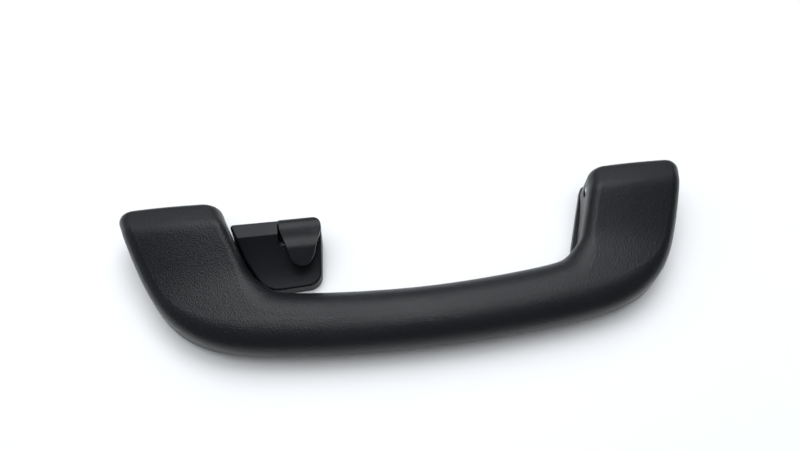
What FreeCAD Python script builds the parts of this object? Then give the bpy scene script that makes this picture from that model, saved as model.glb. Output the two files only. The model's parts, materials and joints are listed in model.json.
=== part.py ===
import FreeCAD, Part
import Sketcher
import math
import os

# Roof grab handle with a coat hook.
# Frame: X along the handle with the hook end at -X, Y from the grip bar towards the pivots,
# Z away from the roof lining. The origin is midway between the two screw centres on the lining.

os.makedirs("parts", exist_ok=True)
doc = FreeCAD.newDocument("GrabHandle")
sheet = doc.addObject("Spreadsheet::Sheet", "Sizes")

SIZES = {
    # Pivot axis and swing
    "pivot_y": 18.0,
    "pivot_z": 12.5,
    "heel_radius": 8.6,
    "pin_radius": 2.0,
    # Plan outline of the grip, outer edge and inner edge, from the heel to the middle of the bar
    "heel_out_x": 119.4,
    "heel_in_x": 77.5,
    "crease_out_x": 115.0,
    "crease_in_x": 74.5,
    "root_out_x": 107.9,
    "root_out_y": -4.6,
    "root_in_x": 69.3,
    "root_in_y": 0.6,
    "corner_out_x": 97.8,
    "corner_out_y": -21.2,
    "corner_in_x": 66.0,
    "corner_in_y": -6.0,
    "turn_out_x": 83.2,
    "turn_out_y": -32.2,
    "turn_in_x": 59.8,
    "turn_in_y": -11.5,
    "bar_out_x": 56.6,
    "bar_out_y": -38.9,
    "bar_in_x": 46.5,
    "bar_in_y": -14.7,
    "bar_front_y": -42.0,
    "bar_back_y": -17.4,
    # Side profile of the grip
    "crease_y": 14.4,
    "crease_rise": 1.9,
    "facet_slope": 0.21,
    "face_slope": 0.29,
    "bar_top_z": 16.5,
    "bar_low_z": 1.6,
    "leg_low_z": 3.9,
    "crown": 0.7,
    # Edges and walls of the grip
    "leg_edge": 4.6,
    "rear_edge": 2.5,
    "heel_corner": 6.0,
    "heel_inner_corner": 4.8,
    "rim_edge": 0.8,
    "bar_flat": 1.2,
    "grip_wall": 2.6,
    "cavity_front_y": -12.5,
    "pin_boss_radius": 4.4,
    "pin_recess_radius": 2.5,
    "pin_recess_depth": 0.8,
    # Base plates and bearing blocks
    "plate_thick": 3.0,
    "plate_front_y": -20.0,
    "block_in_x": 82.2,
    "block_out_x": 102.0,
    "block_front_y": -9.0,
    "block_top_z": 13.0,
    "swing_gap": 0.5,
    "ear_clear": 0.4,
    "ear_in_width": 4.0,
    "ear_out_width": 6.4,
    "core_wall": 2.4,
    # Bushes, screws and covers
    "bush_wall": 1.0,
    "running_gap": 0.05,
    "seat_gap": 0.02,
    "screw_x": 91.0,
    "sleeve_radius": 4.2,
    "sleeve_bore": 2.8,
    "sleeve_long": 8.0,
    "head_radius": 6.2,
    "cover_long": 15.0,
    "cover_wide": 13.6,
    "cover_thick": 1.6,
    "cover_gap": 0.15,
    # Rubber stops
    "stop_x": 88.0,
    "stop_y": -15.9,
    "stop_radius": 3.0,
    "stop_foot_z": 1.7,
    "stop_gap": 0.3,
    # Coat hook housing and tongue
    "hook_rear_y": 18.6,
    "hook_band_y": 11.8,
    "hook_front_y": -9.0,
    "hook_high_z": 13.5,
    "hook_low_z": 4.2,
    "hook_dish": 1.5,
    "hook_end_x": 37.5,
    "hook_wall": 2.3,
    "hook_seam": 0.7,
    "tongue_in_x": 37.8,
    "tongue_out_x": 54.9,
    "tongue_tip_x": 47.4,
    "tongue_tip_y": -2.5,
    "tongue_crest_z": 15.9,
    "tongue_valley_z": 14.5,
    "tongue_mid_y": 10.4,
    "tongue_foot_y": 7.4,
    "tongue_roll_y": 4.7,
    "tongue_tip_z": 10.9,
    "tongue_thick": 2.2,
    "tongue_tip_thick": 0.8,
    "window_out_x": 55.6,
    "window_in_x": 39.6,
    "window_front_y": 7.8,
    # Return spring and damper
    "wire_radius": 0.65,
    "coil_radius": 4.1,
    "coil_pitch": 1.2,
    "coil_turns": 4.0,
    "damper_clear": 0.6,
    "damper_wall": 1.2,
    "damper_long": 8.0,
    "damper_gap": 0.3,
}
for row, (alias, value) in enumerate(SIZES.items(), start=1):
    sheet.set("A%d" % row, alias)
    sheet.set("B%d" % row, str(value))
    sheet.setAlias("B%d" % row, alias)
doc.recompute()


def size(alias):
    return float(sheet.get(alias))


pivot_y = size("pivot_y")
pivot_z = size("pivot_z")
heel_y = pivot_y + size("heel_radius")
crease_z = pivot_z + size("heel_radius") + size("crease_rise")
pieces = []


# Small helpers for points, curves and features

def vec(x, y, z=0.0):
    return FreeCAD.Vector(x, y, z)


def spline(points, params=None):
    curve = Part.BSplineCurve()
    if params is None:
        curve.interpolate(points)
    else:
        curve.interpolate(Points=points, Parameters=params)
    return curve


def keep(obj, label):
    obj.Label = label
    pieces.append(obj)
    return obj


def shape_piece(label, shape, placement=FreeCAD.Placement()):
    feature = doc.addObject("Part::Feature", label)
    feature.Shape = shape
    feature.Placement = placement
    return keep(feature, label)


def attach(body, sketch, plane):
    support = [o for o in body.Origin.OriginFeatures if o.Role == plane][0]
    sketch.AttachmentSupport = (support, "")
    sketch.MapMode = "FlatFace"


def polygon_sketch(body, name, plane, corners):
    sketch = body.newObject("Sketcher::SketchObject", name)
    attach(body, sketch, plane)
    spots = [vec(math.cos(2 * math.pi * i / len(corners)), math.sin(2 * math.pi * i / len(corners)))
             for i in range(len(corners))]
    for i, spot in enumerate(spots):
        sketch.addGeometry(Part.LineSegment(spot, spots[(i + 1) % len(spots)]), False)
    for i in range(len(corners)):
        sketch.addConstraint(Sketcher.Constraint("Coincident", i, 2, (i + 1) % len(corners), 1))
    for i, corner in enumerate(corners):
        for kind, text in zip(("DistanceX", "DistanceY"), corner):
            number = sketch.addConstraint(Sketcher.Constraint(kind, -1, 1, i, 1, 0.5))
            sketch.setExpression("Constraints[%d]" % number, text)
    return sketch


def cell(text):
    """Puts the sheet's name before each alias of an expression."""
    words = []
    for word in text.split():
        words.append("Sizes." + word if word in SIZES else word)
    return " ".join(words)


def bind(obj, **texts):
    for prop, text in texts.items():
        obj.setExpression(prop.replace("__", "."), cell(text))
    return obj


def box(name, x0, x1, y0, y1, z0, z1):
    obj = doc.addObject("Part::Box", name)
    bind(obj, Length="( %s ) - ( %s )" % (x1, x0), Width="( %s ) - ( %s )" % (y1, y0))
    bind(obj, Height="( %s ) - ( %s )" % (z1, z0))
    return bind(obj, Placement__Base__x=x0, Placement__Base__y=y0, Placement__Base__z=z0)


def post(name, radius, x, y, z0, z1):
    """An upright cylinder."""
    obj = doc.addObject("Part::Cylinder", name)
    bind(obj, Radius=radius, Height="( %s ) - ( %s )" % (z1, z0))
    return bind(obj, Placement__Base__x=x, Placement__Base__y=y, Placement__Base__z=z0)


def axle(name, radius, x0, x1):
    """A cylinder on the pivot axis."""
    obj = doc.addObject("Part::Cylinder", name)
    obj.Placement = FreeCAD.Placement(vec(0, 0), FreeCAD.Rotation(vec(0, 1, 0), 90))
    bind(obj, Radius=radius, Height="( %s ) - ( %s )" % (x1, x0))
    return bind(obj, Placement__Base__x=x0, Placement__Base__y="pivot_y", Placement__Base__z="pivot_z")


def fuse(name, *objs):
    obj = doc.addObject("Part::MultiFuse", name)
    obj.Shapes = list(objs)
    obj.Refine = True
    return obj


def cut(name, base, tool):
    obj = doc.addObject("Part::Cut", name)
    obj.Base = base
    obj.Tool = tool
    obj.Refine = True
    return obj


def mirror(name, source):
    obj = doc.addObject("Part::Mirroring", name)
    obj.Source = source
    obj.Normal = vec(1, 0, 0)
    return obj


# Grip: one moulding with a solid bar and two hollow legs.
# Seven pairs of points on the outer and inner edge lead from the left heel round to the right heel.

half_pairs = [
    ((size("heel_out_x"), heel_y), (size("heel_in_x"), heel_y)),
    ((size("crease_out_x"), size("crease_y")), (size("crease_in_x"), size("crease_y"))),
    ((size("root_out_x"), size("root_out_y")), (size("root_in_x"), size("root_in_y"))),
    ((size("corner_out_x"), size("corner_out_y")), (size("corner_in_x"), size("corner_in_y"))),
    ((size("turn_out_x"), size("turn_out_y")), (size("turn_in_x"), size("turn_in_y"))),
    ((size("bar_out_x"), size("bar_out_y")), (size("bar_in_x"), size("bar_in_y"))),
]
MIDDLE = len(half_pairs)
middle_pair = ((0.0, size("bar_front_y")), (0.0, size("bar_back_y")))
knots = [float(i) for i in range(2 * MIDDLE + 1)]
ROOF_KNOTS = [i / 4.0 for i in range(5)]


def edge_curve(which):
    right = [vec(*pair[which]) for pair in half_pairs]
    left = [vec(-p.x, p.y) for p in right]
    return spline(left + [vec(*middle_pair[which])] + right[::-1], knots)


outer_curve = edge_curve(0)
inner_curve = edge_curve(1)


def ease(t, start, stop):
    s = min(max((t - start) / (stop - start), 0.0), 1.0)
    return s * s * (3 - 2 * s)


def blend_low(a, b, soft):
    return -soft * math.log(math.exp(-a / soft) + math.exp(-b / soft))


def top_height(y):
    """Side profile: heel facet, crease, face, and the level top of the bar."""
    facet = crease_z - size("facet_slope") * (y - size("crease_y"))
    face = crease_z + size("face_slope") * (y - size("crease_y"))
    ridge = blend_low(facet, face, 0.45)
    return -blend_low(-ridge, -size("bar_top_z"), 1.1)


def round_off(radius, back):
    """How far a quarter round of this radius stands in, at a distance back from its tangent line."""
    left = max(radius - back, 0.0)
    return radius - math.sqrt(max(radius ** 2 - left ** 2, 0.0))


def corner_arc(start, corner, stop):
    k = 0.5523
    curve = Part.BezierCurve()
    curve.setPoles([start, start + (corner - start) * k, stop + (corner - stop) * k, stop])
    return curve


def grip_section(t):
    """Closed wire across the grip at station t, 0 at the left heel and 2 * MIDDLE at the right heel."""
    outer = outer_curve.value(t)
    inner = inner_curve.value(t)
    near = min(t, 2 * MIDDLE - t)
    back = heel_y - outer.y
    inset_out = round_off(size("heel_corner"), back)
    inset_in = round_off(size("heel_inner_corner"), back)
    drop = round_off(size("rear_edge"), back)
    edge = size("leg_edge")
    along = inner - outer
    full = along.Length
    side = along * (1.0 / full)
    start = outer + side * inset_out
    wide = full - inset_out - inset_in
    into_bar = ease(near, 2.4, 5.2)
    into_bottom = ease(near, 3.3, 5.2)
    low = size("leg_low_z") + (size("bar_low_z") - size("leg_low_z")) * into_bottom
    bar_tall = (size("bar_top_z") - size("bar_low_z")) / 2
    bar_round = wide / 2 - size("bar_flat")
    top_wide = edge + (bar_round - edge) * into_bar
    top_tall = edge + (bar_tall - 0.4 - edge) * into_bar
    low_wide = size("rim_edge") + (bar_round - size("rim_edge")) * into_bottom
    low_tall = size("rim_edge") + (bar_tall - 0.4 - size("rim_edge")) * into_bottom

    def place(across, z):
        spot = start + side * across
        return vec(spot.x, spot.y, z)

    def high(across):
        hump = size("crown") * (1 - (2 * across / wide - 1) ** 2) * (1 - into_bar)
        return top_height((start + side * across).y) - drop - size("crown") + hump + size("crown") * into_bar

    def top_corner(across, edge_across):
        slope = (high(across + 0.1) - high(across - 0.1)) / 0.2
        return place(edge_across, high(across) + slope * (edge_across - across))

    def corner_edge(edge_across, across):
        top = place(across, high(across))
        elbow = top_corner(across, edge_across)
        return top, elbow, place(edge_across, elbow.z - top_tall)

    top_out, elbow_out, side_out = corner_edge(0.0, top_wide)
    top_in, elbow_in, side_in = corner_edge(wide, wide - top_wide)
    foot_out = place(0.0, low + low_tall)
    foot_in = place(wide, low + low_tall)
    sole_out = place(low_wide, low)
    sole_in = place(wide - low_wide, low)
    span = wide - 2 * top_wide
    crown_line = [place(top_wide + span * s, high(top_wide + span * s)) for s in ROOF_KNOTS]
    edges = [
        Part.LineSegment(foot_out, side_out).toShape(),
        corner_arc(side_out, elbow_out, top_out).toShape(),
        spline(crown_line, ROOF_KNOTS).toShape(),
        corner_arc(top_in, elbow_in, side_in).toShape(),
        Part.LineSegment(side_in, foot_in).toShape(),
        corner_arc(foot_in, place(wide, low), sole_in).toShape(),
        Part.LineSegment(sole_in, sole_out).toShape(),
        corner_arc(sole_out, place(0.0, low), foot_out).toShape(),
    ]
    return Part.Wire(edges)


def station_at(y):
    """Station on the left leg whose outer edge lies at y."""
    low, high = 0.0, 3.0
    for _ in range(40):
        mid = (low + high) / 2
        if outer_curve.value(mid).y > y:
            low = mid
        else:
            high = mid
    return (low + high) / 2


heel_steps = [0.0, 0.15, 0.6, 1.5, 3.0, 5.0, 8.0]
stations = [station_at(heel_y - step) if step else 0.0 for step in heel_steps]
stations += [station_at(size("crease_y") + 1.0), station_at(size("crease_y") - 2.0)]
stations += [1.25, 1.6, 2.0, 2.4, 2.8, 3.2, 3.6, 4.0, 4.4, 4.8, 5.2, 5.6]
half_stations = sorted(stations)
all_stations = half_stations + [float(MIDDLE)] + [2 * MIDDLE - t for t in half_stations[::-1]]
grip_form = Part.makeLoft([grip_section(t) for t in all_stations], True, False)


# Hollow of a leg, open towards the lining, with the same wall on both sides and above

heel_wall = size("grip_wall") - 0.4
cavity_rear_y = heel_y - heel_wall


def cavity_section(t):
    outer = outer_curve.value(t)
    inner = inner_curve.value(t)
    along = inner - outer
    side = along * (1.0 / along.Length)
    round_in = size("heel_corner") - size("grip_wall")
    back = max(round_in - (cavity_rear_y - outer.y), 0.0)
    inset = size("grip_wall") + round_in - math.sqrt(max(round_in ** 2 - back ** 2, 0.0))
    start = outer + side * inset
    wide = along.Length - 2 * inset

    def roof(across):
        spot = start + side * across
        return vec(spot.x, spot.y, top_height(spot.y) - size("grip_wall") - size("crown"))

    def floor(across):
        spot = start + side * across
        return vec(spot.x, spot.y, -size("plate_thick"))

    edges = [
        Part.LineSegment(floor(0.0), roof(0.0)).toShape(),
        spline([roof(wide * s) for s in ROOF_KNOTS], ROOF_KNOTS).toShape(),
        Part.LineSegment(roof(wide), floor(wide)).toShape(),
        Part.LineSegment(floor(wide), floor(0.0)).toShape(),
    ]
    return Part.Wire(edges)


def mirrored(shape):
    return shape.mirror(vec(0, 0), vec(1, 0, 0))


def x_cylinder(radius, x0, x1):
    return Part.makeCylinder(radius, x1 - x0, vec(x0, pivot_y, pivot_z), vec(1, 0, 0))


cavity_steps = [0.0, 0.5, 1.6, size("heel_corner") - size("grip_wall") + 0.1, 7.0]
cavity_stations = [station_at(cavity_rear_y - step) for step in cavity_steps]
cavity_stations += [station_at(size("crease_y") + 1.0), station_at(size("crease_y") - 2.0)]
cavity_stations += [1.25, 1.6, 2.0, 2.4, 2.8, 3.2]
left_cavity = Part.makeLoft([cavity_section(t) for t in sorted(cavity_stations)], True, False)
reach = 2 * size("heel_out_x")
cavity_limit = Part.makeBox(reach, 2 * heel_y, 60.0, vec(-reach, size("cavity_front_y"), -10.0))
left_cavity = left_cavity.common(cavity_limit)

# The heel's lower edge is an arc about the pivot, so it clears the base plate as the grip swings.
# Short tangents lead the arc out through the heel's rear face and its underside.

def on_heel(angle, ahead=0.0):
    turn = math.radians(angle)
    radius = size("heel_radius")
    return vec(-reach, pivot_y + radius * math.cos(turn) - ahead * math.sin(turn),
               pivot_z + radius * math.sin(turn) + ahead * math.cos(turn))


tangent = 2.0
heel_line = [on_heel(-82, -tangent), on_heel(-82), on_heel(-8), on_heel(-8, tangent)]
far_rear = heel_line[3] + vec(0, 9.0)
deep = pivot_z + 20.0
heel_edges = [
    Part.LineSegment(heel_line[0], heel_line[1]).toShape(),
    Part.Arc(heel_line[1], on_heel(-45), heel_line[2]).toShape(),
    Part.LineSegment(heel_line[2], heel_line[3]).toShape(),
    Part.LineSegment(heel_line[3], far_rear).toShape(),
    Part.LineSegment(far_rear, far_rear - vec(0, 0, deep)).toShape(),
    Part.LineSegment(far_rear - vec(0, 0, deep), vec(-reach, heel_line[0].y, far_rear.z - deep)).toShape(),
    Part.LineSegment(vec(-reach, heel_line[0].y, far_rear.z - deep), heel_line[0]).toShape(),
]
heel_cut = Part.Face(Part.Wire(heel_edges)).extrude(vec(2 * reach, 0))

wall_x = inner_curve.value(2 * MIDDLE - station_at(pivot_y)).x
boss_x0 = size("block_out_x") + 0.4
boss_x1 = outer_curve.value(2 * MIDDLE - station_at(pivot_y - size("pin_boss_radius"))).x - 1.2
pin_end_x = boss_x1 - 1.2
right_boss = x_cylinder(size("pin_boss_radius"), boss_x0, boss_x1)
right_hole = x_cylinder(size("pin_radius"), wall_x - 3.0, pin_end_x)
right_recess = x_cylinder(size("pin_recess_radius"), wall_x - 3.0, wall_x + size("pin_recess_depth"))
grip_shape = grip_form
for tool in (heel_cut, left_cavity, mirrored(left_cavity)):
    grip_shape = grip_shape.cut(tool)
for boss in (right_boss, mirrored(right_boss)):
    grip_shape = grip_shape.fuse(boss)
for hole in (right_hole, right_recess):
    grip_shape = grip_shape.cut(hole)
    grip_shape = grip_shape.cut(mirrored(hole))
shape_piece("grip", grip_shape)


# Pivot pins, pressed into both side walls of a leg

def lathe_piece(name, label, rings, x0, x1):
    """Turned piece on the pivot axis: the first ring is solid, the second is its bore."""
    body = axle(name + "Outer", rings[0], x0, x1)
    if len(rings) > 1:
        body = cut(name, body, axle(name + "Bore", rings[1], x0 + " - 1", x1 + " + 1"))
    return keep(body, label)


def derived(alias, value):
    """Adds a value that follows from the grip's curves to the sheet."""
    SIZES[alias] = value
    sheet.set("A%d" % len(SIZES), alias)
    sheet.set("B%d" % len(SIZES), str(value))
    sheet.setAlias("B%d" % len(SIZES), alias)


derived("pin_start_x", wall_x + size("pin_recess_depth") + 0.1)
derived("pin_end_x", pin_end_x - 0.2)
doc.recompute()

right_pin = lathe_piece("RightPin", "right_pivot_pin", ["pin_radius"], "pin_start_x", "pin_end_x")
keep(mirror("LeftPin", right_pin), "left_pivot_pin")

# Flanged bushes in the two ears of each base

BUSH = "pin_radius + bush_wall"
BORE = "pin_radius + running_gap"
IN_EAR = ("block_in_x", "block_in_x + ear_in_width")
OUT_EAR = ("block_out_x - ear_out_width", "block_out_x")


def bush(name, label, ear, flange_at):
    sleeve = axle(name + "Sleeve", BUSH, ear[0], ear[1])
    flange = axle(name + "Flange", BUSH + " + 1", flange_at[0], flange_at[1])
    blank = fuse(name + "Blank", sleeve, flange)
    hole = axle(name + "Bore", BORE, ear[0] + " - 2", ear[1] + " + 2")
    return keep(cut(name, blank, hole), label)


inner_bush = bush("RightInnerBush", "right_inner_bush", IN_EAR, (IN_EAR[1], IN_EAR[1] + " + 0.5"))
outer_bush = bush("RightOuterBush", "right_outer_bush", OUT_EAR, (OUT_EAR[0] + " - 0.5", OUT_EAR[0]))
keep(mirror("LeftInnerBush", inner_bush), "left_inner_bush")
keep(mirror("LeftOuterBush", outer_bush), "left_outer_bush")


# Base: plate on the lining, bearing block and two ears, moulded in one

PLATE = [
    ("heel_in_x + 1.2", "pivot_y + heel_radius + 0.4"),
    ("root_in_x - 3.6", "root_in_y - 5"),
    ("corner_in_x + 6.6", "plate_front_y"),
    ("corner_out_x - 2.4", "plate_front_y"),
    ("corner_out_x + 6", "root_out_y - 4"),
    ("heel_out_x - 3.4", "pivot_y + heel_radius + 0.4"),
]
plate_body = doc.addObject("PartDesign::Body", "Plate")
plate_sketch = polygon_sketch(plate_body, "PlateOutline", "XY_Plane", [(cell(a), cell(b)) for a, b in PLATE])
plate_pad = plate_body.newObject("PartDesign::Pad", "PlatePad")
plate_pad.Profile = plate_sketch
plate_pad.setExpression("Length", cell("plate_thick"))
doc.recompute()
upright = [i for i, e in enumerate(plate_pad.Shape.Edges, start=1)
           if abs(e.tangentAt(e.FirstParameter).z) > 0.99]
plate_round = plate_body.newObject("PartDesign::Fillet", "PlateCorners")
plate_round.Base = (plate_pad, ["Edge%d" % i for i in upright])
plate_round.setExpression("Radius", cell("plate_thick"))
doc.recompute()

block = box("Block", "block_in_x", "block_out_x", "block_front_y", "pivot_y - heel_radius - swing_gap", "0",
            "block_top_z")
EAR = "heel_radius - grip_wall - ear_clear"
NECK_LOW = "pivot_z - ( %s ) + 0.8" % EAR
NECK_HIGH = "pivot_z + %s - 2" % EAR
NECK_Y0 = "pivot_y - heel_radius - swing_gap - 1.9"
necks = [box("InNeck", IN_EAR[0], IN_EAR[1], NECK_Y0, "pivot_y", NECK_LOW, NECK_HIGH),
         box("OutNeck", OUT_EAR[0], OUT_EAR[1], NECK_Y0, "pivot_y", NECK_LOW, NECK_HIGH)]
ears = [axle("InEar", EAR, *IN_EAR), axle("OutEar", EAR, *OUT_EAR)]
solid = fuse("BaseSolid", plate_body, block, *necks, *ears)

# What is taken out of the base: bush bores, screw well, cover seat, stop seat and cores

CORE = ("block_in_x + core_wall", "block_out_x - core_wall", "block_front_y + core_wall",
        "pivot_y - heel_radius - swing_gap - core_wall", "-1", "block_top_z - cover_thick - core_wall - 3.4")
core = cut("Core", box("CoreBox", *CORE),
           post("CoreBoss", "sleeve_radius + core_wall + 0.5", "screw_x", "0", "-2", "block_top_z"))
well = post("HeadWell", "head_radius", "screw_x", "0", "sleeve_long", "block_top_z + 1")
sleeve_hole = post("SleeveHole", "sleeve_radius + seat_gap", "screw_x", "0", "-1", "sleeve_long + 1")
cover_seat = box("CoverSeat", "screw_x - cover_long / 2 - cover_gap", "screw_x + cover_long / 2 + cover_gap",
                 "0 - cover_wide / 2 - cover_gap", "cover_wide / 2 + cover_gap",
                 "block_top_z - cover_thick", "block_top_z + 1")
stop_seat = post("StopSeat", "stop_radius + seat_gap", "stop_x", "stop_y", "stop_foot_z", "plate_thick + 1")
stop_hole = post("StopHole", "stop_radius / 2 + seat_gap", "stop_x", "stop_y", "-1", "stop_foot_z + 1")
bush_bores = [axle("InBore", BUSH + " + seat_gap", IN_EAR[0] + " - 1", IN_EAR[1] + " + 1"),
              axle("OutBore", BUSH + " + seat_gap", OUT_EAR[0] + " - 1", OUT_EAR[1] + " + 1")]
arm_hole = doc.addObject("Part::Cylinder", "ArmHole")
arm_hole.Placement = FreeCAD.Placement(vec(0, 0), FreeCAD.Rotation(vec(1, 0, 0), 90))
bind(arm_hole, Radius="wire_radius + 0.15", Height="swing_gap + 3", Placement__Base__z="pivot_z - coil_radius",
     Placement__Base__y="pivot_y - heel_radius + 1.2",
     Placement__Base__x="block_in_x + ear_in_width + 0.75 + wire_radius + coil_pitch * ( coil_turns + 0.5 )")
taken = fuse("BaseTaken", arm_hole, core, well, sleeve_hole, cover_seat, stop_seat, stop_hole, *bush_bores)
plain_base = keep(cut("RightBase", solid, taken), "plain_base")

# Steel sleeves, screw covers and rubber stops

sleeve = cut("RightSleeve", post("SleeveOuter", "sleeve_radius", "screw_x", "0", "0", "sleeve_long"),
             post("SleeveBore", "sleeve_bore", "screw_x", "0", "-1", "sleeve_long + 1"))
keep(sleeve, "right_screw_sleeve")
keep(mirror("LeftSleeve", sleeve), "left_screw_sleeve")

lid = box("CoverLid", "screw_x - cover_long / 2", "screw_x + cover_long / 2", "0 - cover_wide / 2",
          "cover_wide / 2", "block_top_z - cover_thick", "block_top_z")
catches = [box("CatchIn", "screw_x - head_radius + 1", "screw_x - head_radius + 2.2", "-2", "2",
               "sleeve_long + 1", "block_top_z - cover_thick"),
           box("CatchOut", "screw_x + head_radius - 2.2", "screw_x + head_radius - 1", "-2", "2",
               "sleeve_long + 1", "block_top_z - cover_thick")]
pry_slot = box("PrySlot", "screw_x - 2", "screw_x + 2", "0 - cover_wide / 2 - 1", "0 - cover_wide / 2 + 1",
               "block_top_z - cover_thick / 2", "block_top_z + 1")
cover = cut("RightCover", fuse("CoverBlank", lid, *catches), pry_slot)
keep(cover, "right_screw_cover")
keep(mirror("LeftCover", cover), "left_screw_cover")

stop = fuse("RightStop", post("StopPad", "stop_radius", "stop_x", "stop_y", "stop_foot_z",
                              "leg_low_z - stop_gap"),
            post("StopStem", "stop_radius / 2", "stop_x", "stop_y", "0.2", "stop_foot_z"))
keep(stop, "right_rubber_stop")
keep(mirror("LeftStop", stop), "left_rubber_stop")


# Damper in the right base, between the ears: housing, rotor on the pin, seal and lid

DAMP0 = "block_in_x + ear_in_width + 0.7"
DAMP1 = DAMP0 + " + damper_long"
DAMPER = "heel_radius - grip_wall - damper_clear"
ROOM = DAMPER + " - damper_wall"
lug = box("DamperLug", DAMP0 + " + 2", DAMP1 + " - 2", "pivot_y - heel_radius - swing_gap + damper_gap",
          "pivot_y - ( %s ) + 1" % DAMPER, "pivot_z - 2", "pivot_z + 2")
cup = fuse("DamperCup", axle("DamperOuter", DAMPER, DAMP0, DAMP1), lug)
room = fuse("DamperRoom", axle("DamperRoomWide", ROOM, DAMP0 + " + damper_wall", DAMP1 + " + 1"),
            axle("DamperEye", "pin_radius + damper_gap", DAMP0 + " - 1", DAMP1 + " + 1"))
keep(cut("DamperHousing", cup, room), "damper_housing")
ROTOR0 = DAMP0 + " + damper_wall + damper_gap"
ROTOR1 = DAMP1 + " - damper_wall - damper_gap"
keep(cut("DamperRotor", axle("RotorDrum", ROOM + " - damper_gap", ROTOR0, ROTOR1),
         axle("RotorBore", "pin_radius + seat_gap", ROTOR0 + " - 1", ROTOR1 + " + 1")), "damper_rotor")
keep(cut("DamperLid", axle("LidDisc", ROOM + " - seat_gap", DAMP1 + " - damper_wall", DAMP1),
         axle("LidEye", "pin_radius + damper_gap", DAMP1 + " - damper_wall - 1", DAMP1 + " + 1")), "damper_lid")

# Return spring in the left base: a torsion coil with one arm in the block and one under the leg's roof

# The wire's path is drawn in short straight runs round the coil, with each arm in line with its nearest run

wire = size("wire_radius")
coil = size("coil_radius")
turns = size("coil_turns") + 0.5
long = turns * size("coil_pitch")
RUNS = 10
run_angle = 2 * math.pi / RUNS
spots = []
for i in range(int(turns * RUNS) + 2):
    turn = (i - 0.5) * run_angle
    corner_radius = coil / math.cos(run_angle / 2)
    spots.append(vec(corner_radius * math.cos(turn), corner_radius * math.sin(turn),
                     min(max(i - 0.5, 0.0) / RUNS, turns) * size("coil_pitch")))
arm = size("heel_radius") + size("swing_gap") + 1.5
spots.insert(0, vec(coil, -arm, 0.0))
spots.append(vec(-coil, -arm, long))
path = Part.Wire([Part.LineSegment(a, b).toShape() for a, b in zip(spots, spots[1:])])
ring = Part.Wire([Part.Circle(spots[0], vec(0, 1, 0), wire).toShape()])
spring = path.makePipeShell([ring], True, False, 1)
print("spring", spring.isValid(), round(spring.Volume, 1), "section times length",
      round(math.pi * wire ** 2 * path.Length, 1))


# Coat hook housing: a low moulded shell beside the left leg, drawn on the +X side and mirrored

def rounded_outline(corners, radii):
    """Wire through corners in the XY plane with an arc of each radius."""
    edges = []
    count = len(corners)
    ends = []
    for i in range(count):
        here = vec(*corners[i])
        before = (vec(*corners[i - 1]) - here).normalize()
        after = (vec(*corners[(i + 1) % count]) - here).normalize()
        half = before.getAngle(after) / 2
        back = radii[i] / math.tan(half)
        middle = here + (before + after).normalize() * (radii[i] / math.sin(half) - radii[i])
        ends.append((here + before * back, middle, here + after * back))
    for i in range(count):
        start, middle, stop = ends[i]
        edges.append(Part.Arc(start, middle, stop).toShape())
        edges.append(Part.LineSegment(stop, ends[(i + 1) % count][0]).toShape())
    return Part.Wire(edges)


seam = size("hook_seam")
rear = size("hook_rear_y")
front = size("hook_front_y")
wall_rear_x = inner_curve.value(2 * MIDDLE - station_at(rear)).x - seam
wall_root_x = size("root_in_x") - seam + 1.2
hook_corners = [(wall_rear_x, rear), (wall_root_x, 4.5), (wall_root_x - 7.6, front),
                (size("hook_end_x") + 2.3, front + 0.8), (size("hook_end_x"), rear - 0.3)]
hook_radii = [1.2, 14.0, 10.0, 6.0, 5.6]
hook_outline = rounded_outline(hook_corners, hook_radii)
wall = size("hook_wall")


def under_roof(lower, base_z):
    """Everything below the housing's band and dished face, lowered by a wall."""
    high = size("hook_high_z") - lower
    low = size("hook_low_z") - lower
    band = size("hook_band_y")
    x0 = size("hook_end_x") - 10.0
    x1 = wall_rear_x + 10.0
    middle = vec(x0, (band + front) / 2, (high + low) / 2 - size("hook_dish"))
    spots = [vec(x0, rear + 5, base_z), vec(x0, rear + 5, high), vec(x0, band, high), vec(x0, front, low)]
    fall = (high - low) / (band - front)
    spots += [vec(x0, front - 5, low - fall * 5), vec(x0, front - 5, base_z)]
    edges = [Part.LineSegment(spots[0], spots[1]).toShape(), Part.LineSegment(spots[1], spots[2]).toShape(),
             Part.Arc(spots[2], middle, spots[3]).toShape(), Part.LineSegment(spots[3], spots[4]).toShape(),
             Part.LineSegment(spots[4], spots[5]).toShape(), Part.LineSegment(spots[5], spots[0]).toShape()]
    return Part.Face(Part.Wire(edges)).extrude(vec(x1 - x0, 0))


def prism(outline, z0, z1):
    face = Part.Face(outline)
    face.translate(vec(0, 0, z0))
    return face.extrude(vec(0, 0, z1 - z0))


housing = prism(hook_outline, 0.0, 20.0).common(under_roof(0.0, -5.0))
rim = [e for e in housing.Edges if e.BoundBox.ZMin > 2.0 and e.BoundBox.ZMax < 14.0
       and not (e.BoundBox.YLength < 0.01 and e.BoundBox.XLength > 20)
       and abs(e.tangentAt((e.FirstParameter + e.LastParameter) / 2).z) < 0.9]
housing = housing.makeFillet(0.9, rim)
inside = prism(hook_outline.makeOffset2D(-wall), -5.0, 20.0).common(under_roof(wall, -10.0))
shell = housing.cut(inside)

# The window behind the tongue has its own walls down to the lining

win = (size("window_in_x"), size("window_out_x"), size("window_front_y"), rear - wall)
chute_wall = 1.6
chute = Part.makeBox(win[1] - win[0] + 2 * chute_wall, win[3] - win[2] + 2 * chute_wall,
                     size("hook_high_z") - 1.5, vec(win[0] - chute_wall, win[2] - chute_wall, 0.0))
chute = chute.common(housing)
window = Part.makeBox(win[1] - win[0], win[3] - win[2], 40.0, vec(win[0], win[2], -5.0))
shell = shell.fuse(chute).cut(window)


# Hook tongue: a strip from the rear wall over the window that rolls down and thins towards its tip

TONGUE_FALL = [(2.2, 0.28), (0.0, 0.58), (-1.6, 0.8)]


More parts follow.
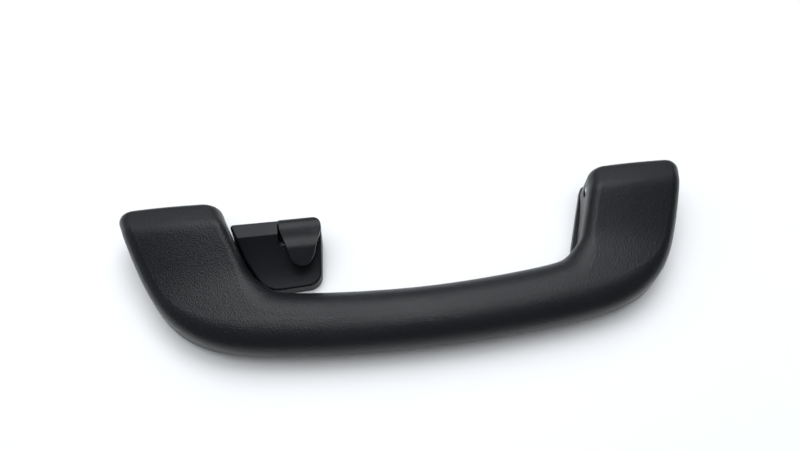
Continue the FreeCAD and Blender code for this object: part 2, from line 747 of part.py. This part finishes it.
def tongue_line(under):
    """The tongue's top line, or its underside where under is 1."""
    thick = size("tongue_thick")
    crest = size("tongue_crest_z") - under * thick
    valley = size("tongue_valley_z") - under * thick
    back = rear - under * thick
    line = [vec(0, back - 0.3, size("hook_high_z") - 1.6), vec(0, back - 1.3, crest - 1.0),
            vec(0, rear - 4.6, crest), vec(0, size("tongue_mid_y"), (crest + valley) / 2),
            vec(0, size("tongue_foot_y"), valley + 0.1), vec(0, size("tongue_roll_y"), valley)]
    roll = size("tongue_valley_z") - size("tongue_tip_z")
    for y, share in TONGUE_FALL + [(size("tongue_tip_y") - 1.0, 1.0)]:
        thinned = under * (thick - size("tongue_tip_thick")) * share
        line.append(vec(0, y, valley - roll * share + thinned))
    return line


top_line = tongue_line(0)
low_line = tongue_line(1)
side_edges = [spline(top_line).toShape(), Part.LineSegment(top_line[-1], low_line[-1]).toShape(),
              spline(low_line[::-1]).toShape(), Part.LineSegment(low_line[0], top_line[0]).toShape()]
ribbon = Part.Face(Part.Wire(side_edges)).extrude(vec(size("heel_in_x"), 0))
tip = vec(size("tongue_tip_x"), size("tongue_tip_y"))
out_x = size("tongue_out_x")
in_x = size("tongue_in_x")
leaf = [vec(out_x, rear), vec(out_x, 13.0), vec(out_x - 1.4, 8.2), vec(out_x - 2.9, 3.2), vec(out_x - 3.8, 0.0),
        vec(tip.x + 2.2, tip.y + 0.8), tip, vec(tip.x - 3.0, tip.y + 0.7), vec(in_x + 3.4, 2.8),
        vec(in_x + 2.2, 7.1), vec(in_x + 0.7, 10.4), vec(in_x, 13.0), vec(in_x, rear)]
leaf_wire = Part.Wire([spline(leaf[1:-1]).toShape(), Part.LineSegment(leaf[-2], leaf[-1]).toShape(),
                       Part.LineSegment(leaf[-1], leaf[0]).toShape(), Part.LineSegment(leaf[0], leaf[1]).toShape()])
tongue = ribbon.common(prism(leaf_wire, 0.0, 30.0)).common(prism(hook_outline, 0.0, 30.0))

hook_part = doc.addObject("Part::Feature", "HookPart")
hook_part.Shape = mirrored(shell.fuse(tongue))
left_base = mirror("LeftBase", plain_base)
keep(fuse("HookBase", left_base, hook_part), "hook_base")

spring_x = -(size("block_in_x") + size("ear_in_width") + 0.5 + 0.25 + wire + long)
spring_place = FreeCAD.Placement(vec(spring_x, pivot_y, pivot_z), FreeCAD.Rotation(vec(0, 1, 0), 90))
shape_piece("return_spring", spring, spring_place)

doc.recompute()
for obj in doc.Objects:
    bad = [word for word in obj.State if word in ("Invalid", "Error")]
    if bad:
        raise RuntimeError("%s failed: %s" % (obj.Name, bad))
for obj in pieces:
    if obj.Shape.isNull() or not obj.Shape.isValid():
        raise RuntimeError("%s has no valid shape" % obj.Label)
for obj in pieces:
    obj.Shape.exportStep("parts/%s.step" % obj.Label)
    box_of = obj.Shape.BoundBox
    print("%-20s solids %d volume %8.1f x %.1f %.1f y %.1f %.1f z %.1f %.1f" % (
        obj.Label, len(obj.Shape.Solids), obj.Shape.Volume, box_of.XMin, box_of.XMax, box_of.YMin, box_of.YMax,
        box_of.ZMin, box_of.ZMax))
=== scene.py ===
# %% [markdown]
# # A roof grab handle with a coat hook
# This lesson dresses a ready-made mechanical model of a car's roof handle.
# The grip is a long black moulding on two legs, and it folds against the roof on two hidden pins.
# A small coat hook stands beside the left leg.
# The model comes in as a fixed frame, in metres, so nothing has to be placed by eye.

# %% Load the model
import json
import math

import bpy
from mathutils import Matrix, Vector


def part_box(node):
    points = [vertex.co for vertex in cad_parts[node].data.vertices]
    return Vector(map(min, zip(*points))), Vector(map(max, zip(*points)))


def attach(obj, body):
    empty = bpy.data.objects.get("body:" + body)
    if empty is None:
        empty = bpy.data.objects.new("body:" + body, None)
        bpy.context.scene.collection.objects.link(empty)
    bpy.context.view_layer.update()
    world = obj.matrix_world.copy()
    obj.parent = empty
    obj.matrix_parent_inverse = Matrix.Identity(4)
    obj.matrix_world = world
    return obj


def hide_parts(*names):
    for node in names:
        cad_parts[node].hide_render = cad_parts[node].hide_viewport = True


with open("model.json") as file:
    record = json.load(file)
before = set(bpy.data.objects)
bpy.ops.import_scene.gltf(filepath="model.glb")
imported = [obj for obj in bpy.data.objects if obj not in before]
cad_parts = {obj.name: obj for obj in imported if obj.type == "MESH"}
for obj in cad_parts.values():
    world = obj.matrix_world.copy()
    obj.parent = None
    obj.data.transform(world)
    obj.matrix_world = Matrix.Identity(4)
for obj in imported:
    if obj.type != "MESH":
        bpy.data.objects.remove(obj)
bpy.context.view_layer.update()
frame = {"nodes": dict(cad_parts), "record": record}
nodes = frame["nodes"]
MM = 0.001

# %% [markdown]
# ## The camera
# The photograph was taken from above and in front of the handle, with a phone held by hand.
# The camera could be placed by trial, but its place was worked out from the outline of the handle instead:
# the three angles and the lens are the ones that lay the model's outline over the photographed one.

# %% Camera at the photograph's viewpoint
CAMERA_AT = (-36.4 * MM, -142.3 * MM, 256.2 * MM)
CAMERA_TURN = (32.59, -2.02, -8.18)
LENS = 31.6
SENSOR = 36.0
CLIP_NEAR, CLIP_FAR = 0.01, 50.0

camera = bpy.data.objects.new("camera", bpy.data.cameras.new("camera"))
bpy.context.scene.collection.objects.link(camera)
camera.location = CAMERA_AT
camera.rotation_euler = [math.radians(angle) for angle in CAMERA_TURN]
camera.data.lens = LENS
camera.data.sensor_width = SENSOR
camera.data.clip_start = CLIP_NEAR
camera.data.clip_end = CLIP_FAR
bpy.context.scene.camera = camera
print("camera", [round(c / MM) for c in camera.location], "lens", LENS)

# %% [markdown]
# ## Helpers for node materials
# Every finish here is a small tree of nodes, and the same few steps come back in each one: make a material,
# read the piece's own coordinates, vary something with noise, and blend two colours.
# Each step could be spelt out every time. A short function for it keeps the recipes readable.

# %% Small helpers for node materials
# The Mix node keeps one set of sockets for each kind of data. These are its colour sockets.
FIRST_COLOUR, SECOND_COLOUR, BLENDED_COLOUR = 6, 7, 2


def new_material(name):
    """A material with its node tree and its Principled shader."""
    material = bpy.data.materials.new(name)
    material.use_nodes = True
    tree = material.node_tree
    return material, tree, tree.nodes["Principled BSDF"]


def add_node(tree, kind, **settings):
    node = tree.nodes.new(kind)
    for key, value in settings.items():
        if key in node.inputs:
            node.inputs[key].default_value = value
        else:
            setattr(node, key, value)
    return node


def coordinates(tree):
    """The object's own metres, which stay on the piece when it swings."""
    return add_node(tree, "ShaderNodeTexCoord").outputs["Object"]


def noise(tree, where, per_metre, detail=4.0, roughness=0.5):
    node = add_node(tree, "ShaderNodeTexNoise", Scale=per_metre, Detail=detail, Roughness=roughness)
    tree.links.new(where, node.inputs["Vector"])
    return node.outputs["Fac"]


def mixed(tree, share, first, second):
    """A colour between two colours, each a tuple or another node's output."""
    node = add_node(tree, "ShaderNodeMix", data_type="RGBA")
    sockets = (node.inputs["Factor"], node.inputs[FIRST_COLOUR], node.inputs[SECOND_COLOUR])
    for socket, value in zip(sockets, (share, first, second)):
        if isinstance(value, tuple):
            socket.default_value = value
        else:
            tree.links.new(value, socket)
    return node.outputs[BLENDED_COLOUR]


print("helpers", [helper.__name__ for helper in (new_material, add_node, coordinates, noise, mixed)])

# %% [markdown]
# ## The floor
# The handle lies on a plain pale sheet, resting on its two base plates.
# A big flat mesh does for the floor: it only has to catch the shadow and throw light back up under the bar.
# Its colour is broken up by a very faint noise, so that it doesn't look like empty space.
# It lies a tenth of a millimetre low, so that it doesn't share a plane with the undersides of the bases.

# %% Floor
FLOOR_HALF = 3.0
FLOOR_LOW = 0.1 * MM
CLOUDS = 9.0
PALE, PALER = (0.80, 0.80, 0.80, 1), (0.84, 0.84, 0.84, 1)

floor_mesh = bpy.data.meshes.new("floor")
corners = [(-FLOOR_HALF, -FLOOR_HALF, 0), (FLOOR_HALF, -FLOOR_HALF, 0),
           (FLOOR_HALF, FLOOR_HALF, 0), (-FLOOR_HALF, FLOOR_HALF, 0)]
floor_mesh.from_pydata(corners, [], [(0, 1, 2, 3)])
floor = bpy.data.objects.new("floor", floor_mesh)
floor.location.z = -FLOOR_LOW
bpy.context.scene.collection.objects.link(floor)

floor_material, tree, shader = new_material("pale floor")
cloud = noise(tree, coordinates(tree), CLOUDS)
tree.links.new(mixed(tree, cloud, PALE, PALER), shader.inputs["Base Color"])
shader.inputs["Roughness"].default_value = 0.6
shader.inputs["Specular IOR Level"].default_value = 0.2
floor_mesh.materials.append(floor_material)
print("floor", 2 * FLOOR_HALF, "m square")

# %% [markdown]
# ## The light
# The photograph has soft light from broad ceiling lamps, a little behind the handle.
# They show as a bright streak wherever the black plastic faces up and back, and leave the faces that lean
# towards the camera dark. Large area lamps give such streaks their soft edges: two on the ceiling, a window
# on the left, and a low strip in front that draws the thin light line along the bar's rim.
#
# The sheet has to come out almost white, but lamps that strong would turn the black plastic grey. So a fifth
# lamp hangs overhead and is hidden from glossy reflections: black plastic shows nearly nothing but gloss, so
# this lamp lights the sheet and leaves the plastic black. A weak, pale world fills the rest.
#
# Blender's default view transform, AgX, lifts deep blacks towards grey, so the plain Standard one is used.

# %% Lamps and world
DAYLIGHT = (0.94, 0.97, 1.0)
WORLD_COLOUR, WORLD_STRENGTH = (0.93, 0.96, 1.0, 1), 0.13
# For each lamp: its place, its two sides in metres, its power in watts, and whether gloss shows it.
LAMPS = {
    "ceiling lamp": ((0.12, 0.56, 1.2), 0.8, 0.85, 5.6, True),
    "far ceiling lamp": ((-0.1, 1.4, 1.15), 2.6, 0.4, 4.6, True),
    "left window": ((-1.6, 0.3, 0.75), 0.8, 0.5, 0.9, True),
    "front strip": ((0.0, -1.7, 0.32), 2.0, 0.35, 1.6, True),
    "overhead fill": ((-0.15, 0.17, 1.4), 2.0, 2.0, 28.5, False),
}


def area_lamp(name, at, long, wide, watts, in_gloss):
    """A rectangular lamp that looks at the origin."""
    lamp = bpy.data.lights.new(name, "AREA")
    lamp.shape = "RECTANGLE"
    lamp.size = long
    lamp.size_y = wide
    lamp.energy = watts
    lamp.color = DAYLIGHT
    holder = bpy.data.objects.new(name, lamp)
    holder.location = at
    holder.rotation_euler = (-Vector(at)).to_track_quat("-Z", "Y").to_euler()
    holder.visible_glossy = in_gloss
    bpy.context.scene.collection.objects.link(holder)


for name, settings in LAMPS.items():
    area_lamp(name, *settings)

world = bpy.data.worlds.new("room")
world.use_nodes = True
background = world.node_tree.nodes["Background"]
background.inputs["Color"].default_value = WORLD_COLOUR
background.inputs["Strength"].default_value = WORLD_STRENGTH
bpy.context.scene.world = world
bpy.context.scene.view_settings.view_transform = "Standard"
print("lamps", list(LAMPS), "watts", round(sum(settings[3] for settings in LAMPS.values()), 1))

# %% [markdown]
# ## Smooth faces
# The model arrives as triangles, some of them with flat shading. Rounded mouldings must look round, and sharp
# edges sharp. A modifier could find the sharp edges by their angle, but the meshes carry normals of their own,
# with doubled corners along every sharp edge. So a smooth-shading flag on every face is enough, and no vertex
# is touched.

# %% Smooth shading that keeps the sharp edges
for node in nodes.values():
    faces = node.data.polygons
    faces.foreach_set("use_smooth", [True] * len(faces))
print("smoothed", len(nodes), "nodes,", sum(len(node.data.polygons) for node in nodes.values()), "triangles")

# %% [markdown]
# ## Helpers for grain and gloss
# Grain is a bump: a height that changes only how light falls, because pits of a few hundredths of a
# millimetre aren't worth real triangles. The gloss varies too, so a noise has to be stretched to a range
# of roughness first.

# %% Helpers for ranges and bumps
def mapped(tree, value, low, high, to_low, to_high):
    """Stretches the part of a value between low and high over another range."""
    node = add_node(tree, "ShaderNodeMapRange")
    for key, number in zip(("From Min", "From Max", "To Min", "To Max"), (low, high, to_low, to_high)):
        node.inputs[key].default_value = number
    tree.links.new(value, node.inputs["Value"])
    return node.outputs["Result"]


def bumped(tree, height, depth, under=None):
    """A normal for a height value that is worth depth metres, on top of another bump if one is given."""
    node = add_node(tree, "ShaderNodeBump", Distance=depth, Strength=1.0)
    tree.links.new(height, node.inputs["Height"])
    if under is not None:
        tree.links.new(under, node.inputs["Normal"])
    return node.outputs["Normal"]


print("helpers", mapped.__name__, bumped.__name__)

# %% [markdown]
# ## The grip's grained plastic
# The grip is a charcoal-black polypropylene with a fine eroded grain, which breaks every reflection into sparkle.
# A picture of grain would need unwrapping, and patterns in the object's own metres don't.
# The grain's pits are the cells of a Voronoi pattern, a little over half a millimetre across, roughened by
# a finer noise. A much broader noise makes some patches a little smoother than others, as hands do.

# %% Grip plastic
GRAINS = 1750.0
GRAIN_DEPTH = 0.07 * MM
FINER = 1.6
FINE_SHARE = 0.8
HAND_PATCHES = 45.0
NOISE_LOW, NOISE_HIGH = 0.35, 0.65


def grained_plastic(name, dark, light, roughness, depth):
    """A black plastic with pits of this depth, between two colours and two values of roughness."""
    material, tree, shader = new_material(name)
    where = coordinates(tree)
    cells = add_node(tree, "ShaderNodeTexVoronoi", Scale=GRAINS)
    tree.links.new(where, cells.inputs["Vector"])
    fine = noise(tree, where, GRAINS * FINER, detail=2.0, roughness=0.7)
    patches = noise(tree, where, HAND_PATCHES, detail=5.0)
    tone = mapped(tree, fine, NOISE_LOW, NOISE_HIGH, 0.0, 1.0)
    tree.links.new(mixed(tree, tone, dark, light), shader.inputs["Base Color"])
    gloss = mapped(tree, patches, NOISE_LOW, NOISE_HIGH, *roughness)
    tree.links.new(gloss, shader.inputs["Roughness"])
    pits = bumped(tree, cells.outputs["Distance"], depth)
    tree.links.new(bumped(tree, fine, depth * FINE_SHARE, under=pits), shader.inputs["Normal"])
    return material


grip_plastic = grained_plastic(
    "grained grip plastic", (0.004, 0.0042, 0.0054, 1), (0.0075, 0.0079, 0.0099, 1), (0.30, 0.36), GRAIN_DEPTH)
print("grain of", round(1 / GRAINS / MM, 2), "mm")

# %% [markdown]
# ## Dust on the grip
# The photographed handle is used, and a few pale specks of dust lie on it.
# Specks could be small meshes, but a cell pattern with one point in each cell gives them for free: only cells
# whose own random number is high get a speck, and the speck is the small round spot about the cell's point.

# %% Dust on the grip
GRIP_SPECKS = 420.0
GRIP_DUST = (0.045, 0.045, 0.045, 1)
SPECK_EDGE = 0.6
CHANCE_EDGE = 0.01


def specks(tree, where, per_metre, radius, rarity):
    """A mask that is 1 on a few round specks and 0 elsewhere."""
    cells = add_node(tree, "ShaderNodeTexVoronoi", Scale=per_metre)
    tree.links.new(where, cells.inputs["Vector"])
    near = mapped(tree, cells.outputs["Distance"], radius * SPECK_EDGE, radius, 1.0, 0.0)
    split = add_node(tree, "ShaderNodeSeparateColor")
    tree.links.new(cells.outputs["Color"], split.inputs["Color"])
    rare = mapped(tree, split.outputs["Red"], rarity, rarity + CHANCE_EDGE, 0.0, 1.0)
    both = add_node(tree, "ShaderNodeMath", operation="MULTIPLY")
    tree.links.new(near, both.inputs[0])
    tree.links.new(rare, both.inputs[1])
    return both.outputs["Value"]


tree = grip_plastic.node_tree
grip_colour = tree.nodes["Principled BSDF"].inputs["Base Color"]
clean = grip_colour.links[0].from_socket
dust = specks(tree, coordinates(tree), GRIP_SPECKS, radius=0.10, rarity=0.96)
tree.links.new(mixed(tree, dust, clean, GRIP_DUST), grip_colour)
print("grip dusted, cells of", round(1 / GRIP_SPECKS / MM, 1), "mm")

# %% [markdown]
# ## Satin plastic of the bases and the hook
# The two bases and the hook on the left one are moulded in a smoother, slightly bluish black, with a little
# dust as well. Their edges are rounded by a few tenths of a millimetre. The Bevel node bends the normals near
# each edge, which draws the thin light line of such a rounding without adding a face.

# %% Base plastic
BASE_SPECKS = 520.0
SPECK_RARITY = 0.93
BASE_DUST = (0.07, 0.07, 0.075, 1)
BASE_DARK, BASE_LIGHT = (0.0022, 0.0028, 0.0042, 1), (0.0034, 0.0042, 0.006, 1)
BASE_CLOUDS = 60.0
EDGE_ROUND = 0.35 * MM
SATIN_GRAINS = 1500.0
SATIN_DEPTH = 0.02 * MM
# A noise value seldom leaves this wider range, so little of it is cut off.
WIDE_LOW, WIDE_HIGH = 0.3, 0.7

base_plastic, tree, shader = new_material("satin base plastic")
where = coordinates(tree)
cloud = noise(tree, where, BASE_CLOUDS)
dust = specks(tree, where, BASE_SPECKS, radius=0.11, rarity=SPECK_RARITY)
body_colour = mixed(tree, cloud, BASE_DARK, BASE_LIGHT)
tree.links.new(mixed(tree, dust, body_colour, BASE_DUST), shader.inputs["Base Color"])
tree.links.new(mapped(tree, cloud, WIDE_LOW, WIDE_HIGH, 0.34, 0.44), shader.inputs["Roughness"])
soft_edge = add_node(tree, "ShaderNodeBevel", samples=6, Radius=EDGE_ROUND).outputs["Normal"]
fine = noise(tree, where, SATIN_GRAINS, detail=2.0)
tree.links.new(bumped(tree, fine, SATIN_DEPTH, under=soft_edge), shader.inputs["Normal"])
print("one speck in", round(1 / (1 - SPECK_RARITY)), "cells of", round(1 / BASE_SPECKS / MM, 1), "mm")

# %% [markdown]
# ## The hidden pieces
# Pins, sleeves and the spring are zinc-plated steel, the bushes natural acetal and the stops black rubber.
# They show only when the handle is pulled down or seen from behind. One dark material for all of them would
# pass in the photograph's view, but each has its own finish, so that the open legs look right too.

# %% Steel
STAINS = 400.0
DULL_ZINC, BRIGHT_ZINC = (0.52, 0.53, 0.54, 1), (0.68, 0.68, 0.67, 1)
STEEL_GRAINS = 5000.0
STEEL_DEPTH = 0.01 * MM

steel, tree, shader = new_material("zinc plated steel")
where = coordinates(tree)
stains = noise(tree, where, STAINS)
shader.inputs["Metallic"].default_value = 1.0
tree.links.new(mixed(tree, stains, DULL_ZINC, BRIGHT_ZINC), shader.inputs["Base Color"])
tree.links.new(mapped(tree, stains, WIDE_LOW, WIDE_HIGH, 0.25, 0.42), shader.inputs["Roughness"])
tree.links.new(bumped(tree, noise(tree, where, STEEL_GRAINS), STEEL_DEPTH), shader.inputs["Normal"])
print("steel stains of", round(1 / STAINS / MM, 1), "mm")

# %% [markdown]
# ## Acetal and rubber
# Acetal is a hard, slippery, off-white plastic, so bearings are made of it, and it is rather glossy.
# Rubber swallows light: it is almost black, very rough, and its moulded skin is uneven.
# Both could be one flat colour, but a slight unevenness keeps them from looking like plain paint.

# %% Acetal and rubber
ACETAL_CLOUDS, ACETAL_GLOSS_CLOUDS = 300.0, 900.0
ACETAL_DARK, ACETAL_LIGHT = (0.66, 0.65, 0.60, 1), (0.74, 0.73, 0.69, 1)
RUBBER_CLOUDS, RUBBER_GRAINS = 700.0, 3000.0
RUBBER_DARK, RUBBER_LIGHT = (0.012, 0.012, 0.012, 1), (0.025, 0.025, 0.025, 1)
RUBBER_DEPTH = 0.05 * MM

acetal, tree, shader = new_material("natural acetal")
where = coordinates(tree)
tone = noise(tree, where, ACETAL_CLOUDS)
tree.links.new(mixed(tree, tone, ACETAL_DARK, ACETAL_LIGHT), shader.inputs["Base Color"])
gloss = mapped(tree, noise(tree, where, ACETAL_GLOSS_CLOUDS), WIDE_LOW, WIDE_HIGH, 0.28, 0.38)
tree.links.new(gloss, shader.inputs["Roughness"])

rubber, tree, shader = new_material("black rubber")
where = coordinates(tree)
tone = noise(tree, where, RUBBER_CLOUDS)
tree.links.new(mixed(tree, tone, RUBBER_DARK, RUBBER_LIGHT), shader.inputs["Base Color"])
tree.links.new(bumped(tree, noise(tree, where, RUBBER_GRAINS), RUBBER_DEPTH), shader.inputs["Normal"])
shader.inputs["Roughness"].default_value = 0.8
print("made", acetal.name, "and", rubber.name)

# %% [markdown]
# ## Covers and damper
# The screw covers are moulded in the same black as the grip, with a shallower grain. The damper's housing is
# a smoother, dark grey engineering plastic. The grip's own recipe makes both, with other numbers.

# %% Cover plastic and damper plastic
cover_plastic = grained_plastic(
    "cover plastic", (0.007, 0.0073, 0.0085, 1), (0.012, 0.0124, 0.014, 1), (0.40, 0.50), GRAIN_DEPTH / 2)
damper_plastic = grained_plastic(
    "damper plastic", (0.05, 0.05, 0.053, 1), (0.07, 0.07, 0.074, 1), (0.35, 0.45), GRAIN_DEPTH / 6)
print("made", cover_plastic.name, "and", damper_plastic.name)

# %% [markdown]
# ## The return spring
# The model draws the spring's wire in short straight runs, which would look like a bent paper clip.
# A wound spring is smooth, so it is drawn here as one curve with a round section, in the same place.
# A quadratic NURBS curve touches the middle of each side of its control polygon, so the polygon stands
# a little outside the coil, by the cosine of half a step.

# %% Smooth coil in the left base
PIVOT_Y, PIVOT_Z = 18.0 * MM, 12.5 * MM
COIL_RADIUS, COIL_PITCH, COIL_TURNS = 4.1 * MM, 1.2 * MM, 4.5
WIRE_RADIUS = 0.65 * MM
ARM_LONG = 10.6 * MM
STEPS = 12
QUADRATIC = 3


def coil_points(start_x):
    """Control points from the end of one arm, round the coil, to the end of the other."""
    outside = COIL_RADIUS / math.cos(math.pi / STEPS)
    arm_y = PIVOT_Y - ARM_LONG
    points = [Vector((start_x, arm_y, PIVOT_Z - COIL_RADIUS))]
    for step in range(int(COIL_TURNS * STEPS) + 2):
        turn = (step - 0.5) * 2 * math.pi / STEPS
        along = min(max(step - 0.5, 0) / STEPS, COIL_TURNS) * COIL_PITCH
        points.append(Vector((start_x + along, PIVOT_Y + outside * math.sin(turn),
                              PIVOT_Z - outside * math.cos(turn))))
    points.append(Vector((start_x + COIL_TURNS * COIL_PITCH, arm_y, PIVOT_Z + COIL_RADIUS)))
    return points


def round_wire(name, points, radius, order):
    curve = bpy.data.curves.new(name, "CURVE")
    curve.dimensions = "3D"
    curve.bevel_depth = radius
    curve.bevel_resolution = 5
    curve.resolution_u = 6
    curve.use_fill_caps = True
    spline = curve.splines.new("NURBS")
    spline.points.add(len(points) - 1)
    for place, point in zip(spline.points, points):
        place.co = (*point, 1.0)
    spline.order_u = order
    spline.use_endpoint_u = True
    wire = bpy.data.objects.new(name, curve)
    bpy.context.scene.collection.objects.link(wire)
    return wire


spring_low, spring_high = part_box("return_spring")
spring = round_wire("return_spring_coil", coil_points(spring_low[0] + WIRE_RADIUS), WIRE_RADIUS, QUADRATIC)
spring.data.materials.append(steel)
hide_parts("return_spring")
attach(spring, "bases")
print("spring from x", round(spring_low[0] / MM, 1), "to", round(spring_high[0] / MM, 1), "mm")

# %% [markdown]
# ## A finish for every piece
# The model's record names a slot of material for each piece. The pieces could be dressed one by one, but a
# table from slot to finish can't forget any.

# %% Give every node its finish
FINISH = {
    "grip_plastic": grip_plastic,
    "base_plastic": base_plastic,
    "cover_plastic": cover_plastic,
    "bush_plastic": acetal,
    "damper_plastic": damper_plastic,
    "steel": steel,
    "rubber": rubber,
}
for part in frame["record"]["subparts"]:
    mesh = nodes[part["node"]].data
    mesh.materials.clear()
    mesh.materials.append(FINISH[part["material_slot"]])
print("finishes", len(FINISH), "on", len(nodes), "nodes")
